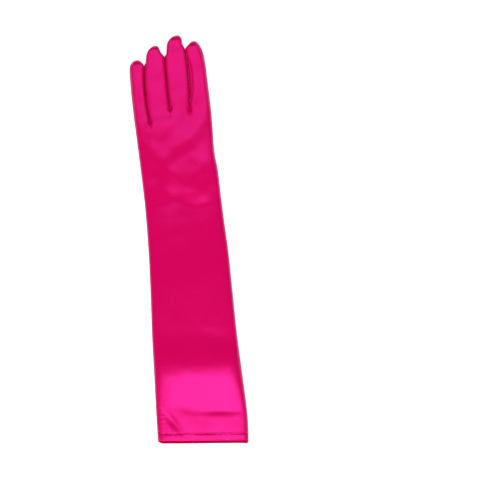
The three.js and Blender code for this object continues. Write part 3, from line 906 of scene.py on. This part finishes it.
def thumb_pouch(pattern):
    """The thumb's pouch as cloth without a wall: flat, with a round end both ways and an oval hole on top."""
    pouch = Cloth()
    rows, columns = 60, 24
    edge_power, edge_share = 6, 0.3
    base, end = -pattern.thumb_base_width / 2, pattern.thumb_reach + pattern.thumb_tip_width / 2
    along = lerp(base, end, (1 - np.cos(math.pi * np.arange(1, rows) / rows)) / 2)
    reach = np.clip(along / pattern.thumb_reach, 0, 1)
    radius = lerp(pattern.thumb_base_width, pattern.thumb_tip_width, reach) / 2
    past = np.where(along < 0, -along, np.maximum(0, along - pattern.thumb_reach))
    half = np.sqrt(np.maximum(0, radius ** 2 - past ** 2))
    side = np.array([pattern.thumb_way[1], -pattern.thumb_way[0]])
    v = spread(columns)
    middle = pattern.thumb_height / 2
    pinch = np.minimum(1, half / (edge_share * radius.max()))[:, None] ** 0.5
    bulge = middle * (1 - np.abs(v) ** edge_power) ** (1 / edge_power) * pinch
    aside = (half[:, None] * v)[:, :, None] * side
    flat = pattern.thumb_root + along[:, None, None] * pattern.thumb_way + aside
    top = pouch.add(np.concatenate([flat, (middle + bulge)[:, :, None]], axis=2))
    low = pouch.add(np.concatenate([flat, (middle - bulge)[:, :, None]], axis=2)[:, 1:-1])
    low = np.hstack([top[:, :1], low, top[:, -1:]])
    pouch.grid(top, keep=cut_hole(pattern, pouch, top))
    pouch.grid(low, flip=True)
    for row, place, flip in ((-1, end, False), (0, base, True)):
        loop = np.concatenate([top[row], low[row][1:-1][::-1]])
        spot = pattern.thumb_root + place * pattern.thumb_way
        pouch.fan(loop[::-1] if flip else loop, [*spot, middle])
    return pouch


class GLOVE_OT_thumb(Operator):
    """Makes the thumb's pouch, folded flat under the palm"""

    bl_idname = "glove.thumb"
    bl_label = "Thumb"

    def execute(self, context):
        pattern, cloth = Pattern(context.scene.glove_sizes), context.scene.glove_cloth
        piece = linked_object("satin_thumb", thumb_pouch(pattern).mesh("satin_thumb", pattern))
        thickened(piece, cloth.wall / 2)
        finish_piece(piece, material_of("woven_satin"), "satin", "thumb")
        return {"FINISHED"}


def stitch_tree():
    """Stitches of one length along a path, one every pitch."""
    tree = bpy.data.node_groups.new("stitch_run", "GeometryNodeTree")
    for name, kind in (
        ("Geometry", "Geometry"), ("Pitch", "Float"), ("Length", "Float"), ("Width", "Float"),
        ("Thread", "Material"), ("Seed", "Int"),
    ):
        tree.interface.new_socket(name, in_out="INPUT", socket_type="NodeSocket" + kind)
    tree.interface.new_socket("Geometry", in_out="OUTPUT", socket_type="NodeSocketGeometry")
    source = add_node(tree, "NodeGroupInput").outputs
    curve = add_node(tree, "GeometryNodeMeshToCurve", {"Mesh": source["Geometry"]})
    points = add_node(
        tree, "GeometryNodeCurveToPoints",
        {"Curve": curve.outputs["Curve"], "Length": source["Pitch"]}, mode="LENGTH")
    ball = add_node(tree, "GeometryNodeMeshIcoSphere", {"Radius": 0.5, "Subdivisions": 2})
    uneven = add_node(
        tree, "FunctionNodeRandomValue", {2: 0.85, 3: 1.1, "Seed": source["Seed"]}, data_type="FLOAT")
    length = add_node(
        tree, "ShaderNodeMath", {0: source["Length"], 1: uneven.outputs[1]}, operation="MULTIPLY")
    scale = add_node(
        tree, "ShaderNodeCombineXYZ", {"X": source["Width"], "Y": source["Width"], "Z": length.outputs[0]})
    placed = add_node(
        tree, "GeometryNodeInstanceOnPoints",
        {
            "Points": points.outputs["Points"],
            "Instance": ball.outputs["Mesh"],
            "Rotation": points.outputs["Rotation"],
            "Scale": scale.outputs["Vector"],
        })
    real = add_node(tree, "GeometryNodeRealizeInstances", {"Geometry": placed.outputs["Instances"]})
    smooth = add_node(tree, "GeometryNodeSetShadeSmooth", {"Geometry": real.outputs["Geometry"]})
    dressed = add_node(
        tree, "GeometryNodeSetMaterial",
        {"Geometry": smooth.outputs["Geometry"], "Material": source["Thread"]})
    add_node(tree, "NodeGroupOutput", {"Geometry": dressed.outputs["Geometry"]})
    return tree


def stitch_run(name, pattern, paths, pitch, length, width, seed):
    """Stitches along paths, each a list of places, as one plain mesh."""
    points, edges = [], []
    for path in paths:
        first = len(points)
        points.extend(path)
        edges.extend((n, n + 1) for n in range(first, len(points) - 1))
    mesh = bpy.data.meshes.new(name)
    mesh.from_pydata(pattern.placed(points).tolist(), edges, [])
    piece = linked_object(name, mesh)
    tree = bpy.data.node_groups.get("stitch_run") or stitch_tree()
    thread = material_of("polyester_thread")
    values = {"Pitch": pitch, "Length": length, "Width": width, "Thread": thread, "Seed": seed}
    run = piece.modifiers.new("stitches", "NODES")
    run.node_group = tree
    for item in tree.interface.items_tree:
        if item.in_out == "INPUT" and item.name in values:
            run[item.identifier] = values[item.name]
    plain_mesh(piece)
    finish_piece(piece, thread, "satin")


def hem_path(pattern, on_top):
    """The hem's stitch line across one side of the sleeve, from edge to edge."""
    at = np.array([pattern.stitch_line / pattern.arm_length])
    places = pattern.arm(at, TOP_COLUMNS if on_top else PALM_COLUMNS, on_top)[0]
    # Threads stand out of the back a little. On the palm side they sink into the cloth, towards the back
    back_out, palm_in = 0.15, 0.1
    return places + np.array([0, 0, back_out if on_top else palm_in])


def laid_on(piece, pattern, starts, way):
    """Where lines that set out from `starts` along `way` first meet a piece, in the pattern's millimetres."""
    met = []
    for start in starts:
        hit, spot, _, _ = piece.ray_cast(Vector(pattern.placed(start)), Vector(way))
        if hit:
            met.append(np.array(spot) / MM - pattern.shift)
    return met


def crotch_path(pattern, trank, line):
    """A short loop of stitches round the foot of the line between two fingers."""
    middle = np.array([pattern.line_x(line, pattern.root_y(line)), pattern.root_y(line)])
    radius, over = 2.3, 60.0
    turns = np.radians(np.linspace(150, 390, 13))
    ring = middle + radius * np.stack([np.cos(turns), np.sin(turns)], axis=1)
    return laid_on(trank, pattern, [(x, y, over) for x, y in ring], (0, 0, -1))


def side_path(pattern, trank):
    """The long seam on the little finger's side, from the hem to the little finger."""
    aside, level, short_of_tip = -120.0, 4.6, 0.12
    start = pattern.hem_y(0.0) + pattern.hem_depth
    end = pattern.arm_length + (TIPS["past"][0] - short_of_tip) * pattern.middle_length
    places = np.arange(start + 1, end, 1.0)
    return laid_on(trank, pattern, [(aside, y, level) for y in places], (1, 0, 0))


def thumb_path(pattern):
    """The oval seam where the thumb is sewn into the palm."""
    turns = np.linspace(0, 2 * math.pi, 49)
    outside = 1.0
    a, b = pattern.hole_width / 2 + outside, pattern.hole_length / 2 + outside
    side = np.array([pattern.thumb_way[1], -pattern.thumb_way[0]])
    level = pattern.thumb_height + pattern.seam_gap / 2
    ring = [pattern.thumb_root + a * math.cos(t) * side + b * math.sin(t) * pattern.thumb_way for t in turns]
    return [(x, y, level) for x, y in ring]


class GLOVE_OT_stitches(Operator):
    """Sews the stitches of the hem, the long side seam, the crotches and the thumb"""

    bl_idname = "glove.stitches"
    bl_label = "Stitches"

    def execute(self, context):
        pattern, cloth = Pattern(context.scene.glove_sizes), context.scene.glove_cloth
        stitch = (cloth.pitch, cloth.stitch, cloth.thread_width)
        trank = bpy.data.objects["satin_trank"]
        small_stitch = (cloth.pitch / 2, cloth.stitch / 2, cloth.thread_width)
        hem = [hem_path(pattern, True), hem_path(pattern, False)]
        crotches = [crotch_path(pattern, trank, line) for line in FOURCHETTES]
        stitch_run("hem_stitches", pattern, hem, *stitch, seed=3)
        stitch_run("side_stitches", pattern, [side_path(pattern, trank)], *stitch, seed=4)
        stitch_run("crotch_stitches", pattern, crotches, *small_stitch, seed=5)
        stitch_run("thumb_stitches", pattern, [thumb_path(pattern)], *stitch, seed=6)
        return {"FINISHED"}


# Name, place and width of each lamp. All point at the middle of the glove
LAMPS = (
    ("key", (0.02, -0.56, 1.15), 0.42),
    ("side", (-0.4, -1.8, 1.1), 0.8),
    ("fill", (0.0, 0.36, 0.6), 0.5),
)


def white_floor(stage):
    """A floor of lit white acrylic. Light comes up through it, so it shows as pure white round the glove."""
    reach, under = 6.0, -0.0002
    corners = [(x * reach, y * reach, under) for x, y in ((-1, -1), (1, -1), (1, 1), (-1, 1))]
    mesh = bpy.data.meshes.new("floor")
    mesh.from_pydata(corners, [], [(0, 1, 2, 3)])
    floor = linked_object("floor", mesh)
    acrylic = bpy.data.materials.new("lit_white_acrylic")
    acrylic.use_nodes = True
    set_inputs(
        acrylic.node_tree, acrylic.node_tree.nodes["Principled BSDF"],
        {
            "Base Color": linear(stage.floor),
            "Roughness": 0.9,
            "Emission Color": (1, 1, 1, 1),
            "Emission Strength": stage.glow,
        })
    mesh.materials.append(acrylic)


def lamp(name, place, size, power):
    """A round soft lamp that points at the middle of the glove."""
    light = bpy.data.lights.new(name, "AREA")
    light.shape = "DISK"
    light.size = size
    light.energy = power
    lit = linked_object(name, light)
    lit.location = place
    lit.rotation_mode = "QUATERNION"
    lit.rotation_quaternion = (-Vector(place)).to_track_quat("-Z", "Y")


def even_light(strength):
    """Light from all round with a dim horizon and a brighter zenith, as under a studio's ceiling."""
    world = bpy.data.worlds.new("even_light")
    world.use_nodes = True
    tree = world.node_tree
    way = add_node(tree, "ShaderNodeTexCoord").outputs["Generated"]
    height = add_node(tree, "ShaderNodeSeparateXYZ", {"Vector": way}).outputs["Z"]
    glow = add_node(tree, "ShaderNodeMapRange", {"Value": height, "To Min": 0.15, "To Max": 1.0})
    scaled = add_node(tree, "ShaderNodeMath", {0: glow.outputs[0], 1: strength}, operation="MULTIPLY")
    set_inputs(tree, tree.nodes["Background"], {"Color": (1, 1, 1, 1), "Strength": scaled.outputs[0]})
    return world


def camera_above(stage):
    """A camera that looks straight down."""
    camera = bpy.data.cameras.new("camera")
    camera.lens = camera.sensor_width * stage.distance / stage.frame_width
    seen = linked_object("camera", camera)
    seen.location = (stage.aside, stage.along, stage.distance)
    seen.rotation_euler = (0, 0, math.radians(stage.turn))
    return seen


class GLOVE_OT_stage(Operator):
    """Makes the floor, the lights and the camera"""

    bl_idname = "glove.stage"
    bl_label = "Stage"

    def execute(self, context):
        scene, stage = context.scene, context.scene.glove_stage
        white_floor(stage)
        for name, place, size in LAMPS:
            lamp(name, place, size, getattr(stage, name))
        scene.world = even_light(stage.sky)
        scene.view_settings.view_transform = "Standard"
        scene.camera = camera_above(stage)
        return {"FINISHED"}


class GLOVE_PT_sidebar(Panel):
    """Lists every setting and operator of the glove"""

    bl_idname = "GLOVE_PT_sidebar"
    bl_label = "Satin opera glove"
    bl_space_type = "VIEW_3D"
    bl_region_type = "UI"
    bl_category = "Glove"

    def draw(self, context):
        layout, scene = self.layout, context.scene
        for group in (scene.glove_sizes, scene.glove_cloth, scene.glove_stage):
            box = layout.box()
            for name in group.bl_rna.properties.keys():
                if name not in ("rna_type", "name"):
                    box.prop(group, name)
        for operator in OPERATORS:
            layout.operator(operator.bl_idname)


OPERATORS = (GLOVE_OT_stage, GLOVE_OT_panels, GLOVE_OT_hem_band, GLOVE_OT_thumb, GLOVE_OT_stitches)
CLASSES = (GloveSizes, ClothSettings, StageSettings, *OPERATORS, GLOVE_PT_sidebar)


def register():
    for kind in CLASSES:
        bpy.utils.register_class(kind)
    bpy.types.Scene.glove_sizes = PointerProperty(type=GloveSizes)
    bpy.types.Scene.glove_cloth = PointerProperty(type=ClothSettings)
    bpy.types.Scene.glove_stage = PointerProperty(type=StageSettings)


def unregister():
    for name in ("glove_stage", "glove_cloth", "glove_sizes"):
        delattr(bpy.types.Scene, name)
    for kind in reversed(CLASSES):
        bpy.utils.unregister_class(kind)


def main():
    register()
    bpy.ops.glove.stage()
    bpy.ops.glove.panels()
    bpy.ops.glove.hem_band()
    bpy.ops.glove.thumb()
    bpy.ops.glove.stitches()


if __name__ == "__main__":
    main()
